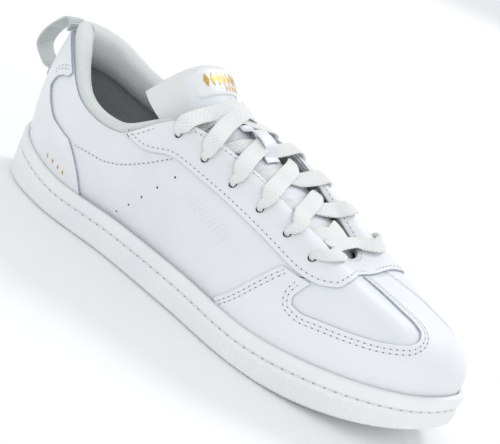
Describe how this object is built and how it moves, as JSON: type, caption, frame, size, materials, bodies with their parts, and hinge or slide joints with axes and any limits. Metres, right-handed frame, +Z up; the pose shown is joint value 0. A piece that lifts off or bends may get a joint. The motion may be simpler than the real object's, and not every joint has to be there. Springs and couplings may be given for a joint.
{
  "type": "court shoe",
  "caption": "White leather court shoe for the right foot: rubber cup sole, layered upper with a padded knit collar, laced over a padded tongue that tilts, pull tab at the heel.",
  "frame": {"origin": "middle of the shoe's bounding box, on the ground plane under the sole", "axes": "+X towards the toe, +Z up from the ground, +Y towards the medial (inner) side"},
  "size_m": [0.318, 0.1018, 0.1105],
  "materials": {
    "cup_rubber": "matte white rubber",
    "foam": "foam, open cell",
    "board": "pressed fibre board",
    "sockliner_textile": "blue-grey brushed textile",
    "quarter_leather": "smooth white leather, cool tone",
    "vamp_leather": "tumbled white leather",
    "overlay_leather": "smooth white leather, raw blue-grey cut edge",
    "stiffener": "non-woven",
    "lining_knit": "greenish grey knit",
    "collar_knit": "off-white knit",
    "tongue_leather": "soft white leather",
    "label_film": "satin white film with a gold mark",
    "keeper_film": "satin white film",
    "lace_braid": "flat braid, warm white",
    "tab_webbing": "ribbed webbing"
  },
  "bodies": {
    "shoe": {"outsole_cup": "cup_rubber", "midsole_filler": "foam", "lasting_board": "board", "sockliner": "sockliner_textile", "quarter_lateral": "quarter_leather", "quarter_medial": "quarter_leather", "vamp": "vamp_leather", "toe_guard": "overlay_leather", "heel_cover": "overlay_leather", "eyestay": "overlay_leather", "heel_stiffener": "stiffener", "toe_puff": "stiffener", "eyelet_stay_lateral": "stiffener", "eyelet_stay_medial": "stiffener", "lining_heel": "lining_knit", "lining_front": "lining_knit", "collar_padding": "collar_knit", "tongue_lower": "tongue_leather", "lace_keeper": "keeper_film", "shoelace": "lace_braid", "pull_tab": "tab_webbing"},
    "tongue_flap": {"tongue_top": "tongue_leather", "tongue_label": "label_film"}
  },
  "joints": [
    {"name": "tongue_tilt", "type": "hinge", "parent": "shoe", "child": "tongue_flap", "pos_m": [-0.02764, 0.0015, 0.09576], "axis": [0, 1, 0], "range_deg": [-5, 12]}
  ]
}
